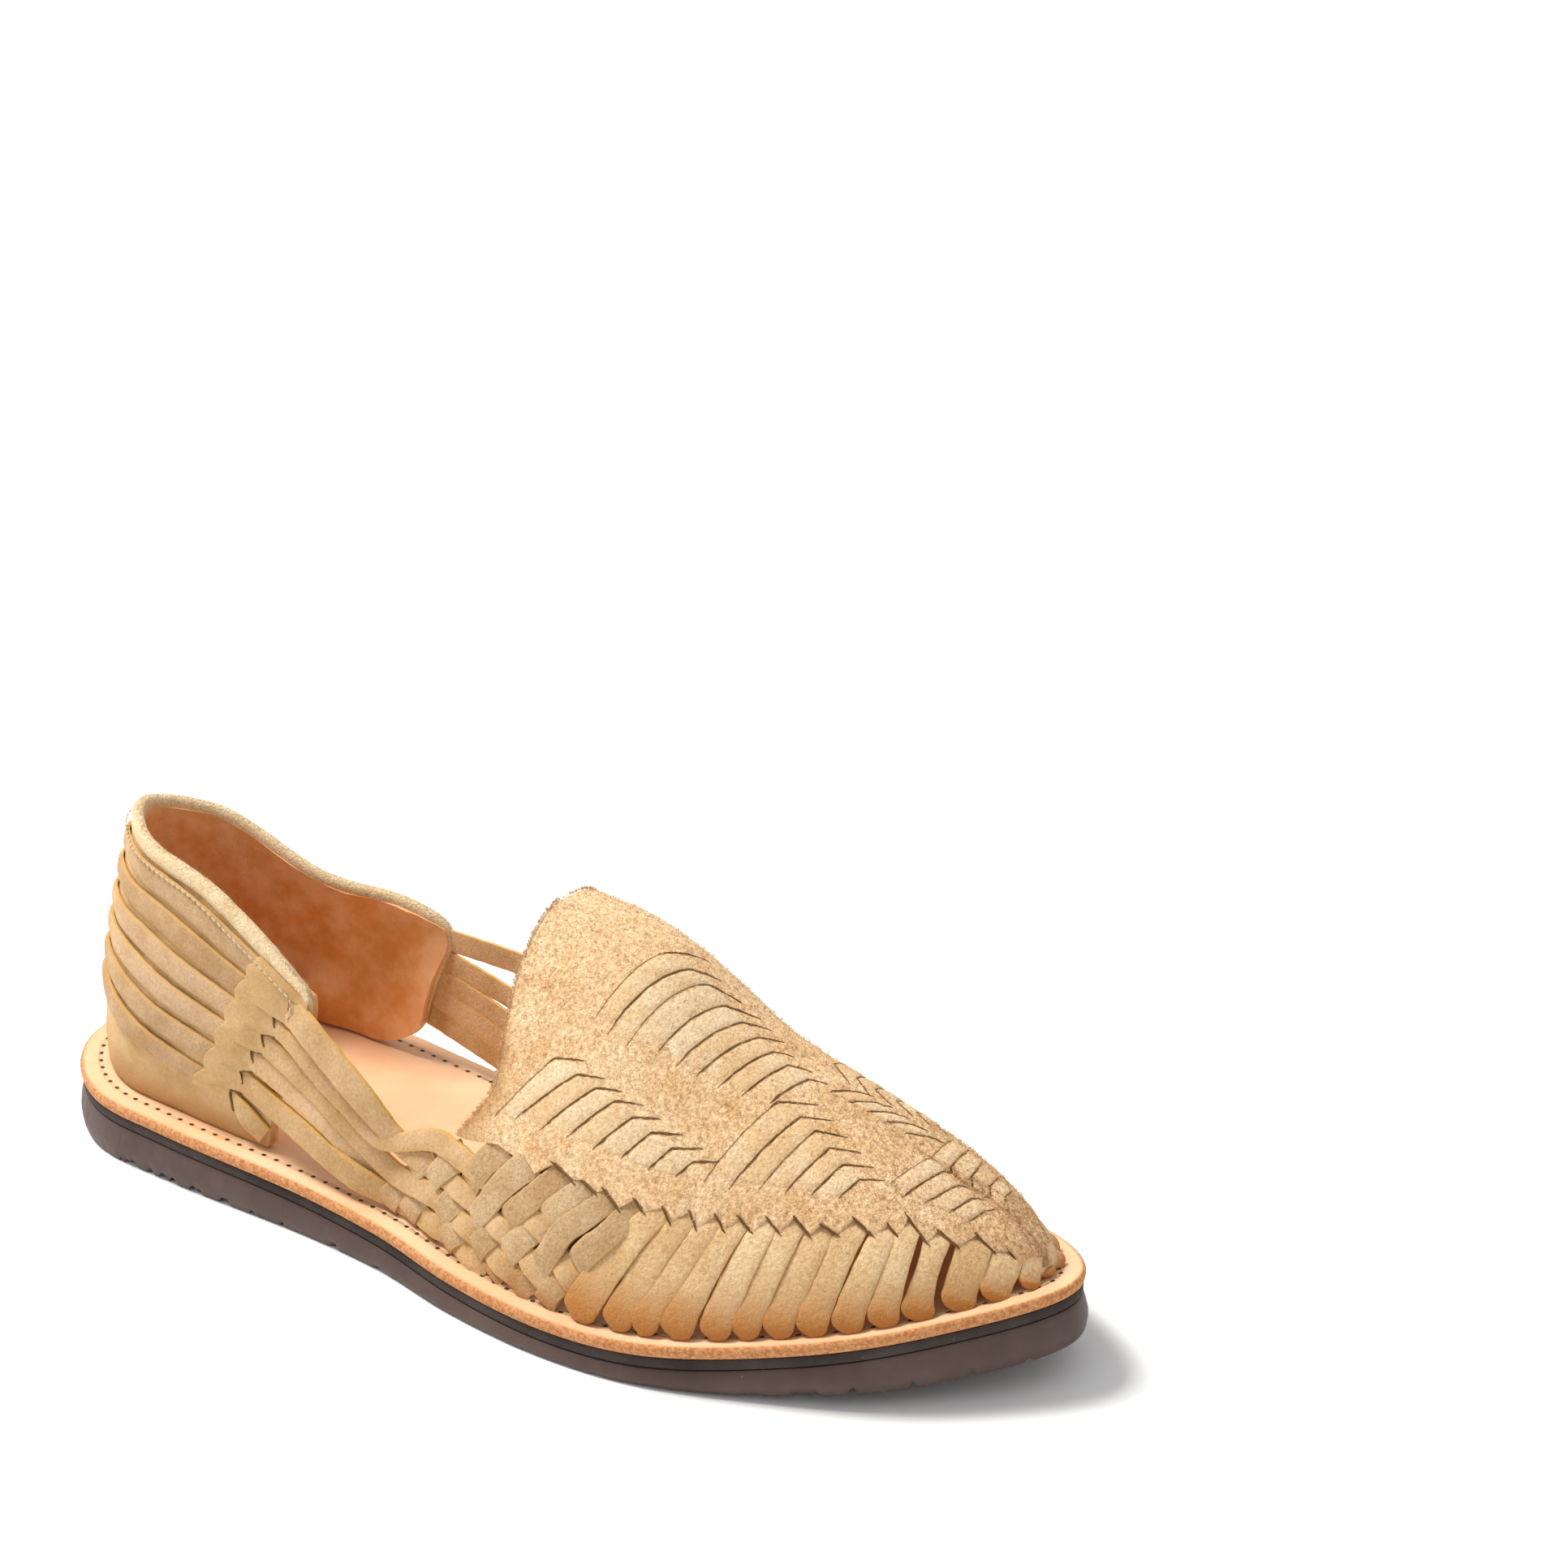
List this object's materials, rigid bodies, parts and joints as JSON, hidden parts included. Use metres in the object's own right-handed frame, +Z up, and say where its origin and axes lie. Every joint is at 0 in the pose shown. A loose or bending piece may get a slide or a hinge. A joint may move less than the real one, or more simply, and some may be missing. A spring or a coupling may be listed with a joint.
{
  "type": "huarache sandal",
  "caption": "Right huarache sandal: woven suede vamp and strapped heel quarter on a leather insole, dark midsole and zigzag-tread rubber outsole.",
  "frame": {"origin": "centre of the bounding box at the ground", "axes": "+X from heel to toe, +Y to the inner side of the foot, +Z up"},
  "size_m": [0.2936, 0.1008, 0.0891],
  "materials": {
    "tread_rubber": "satin brown rubber",
    "midsole_rubber": "matte dark brown foam rubber",
    "insole_leather": "smooth vegetable-tanned leather",
    "vamp_suede": "rough suede",
    "quarter_suede": "fine suede"
  },
  "bodies": {
    "root": {"outsole": "tread_rubber", "midsole": "midsole_rubber", "insole": "insole_leather", "vamp": "vamp_suede", "heel_quarter": "quarter_suede"}
  },
  "joints": []
}
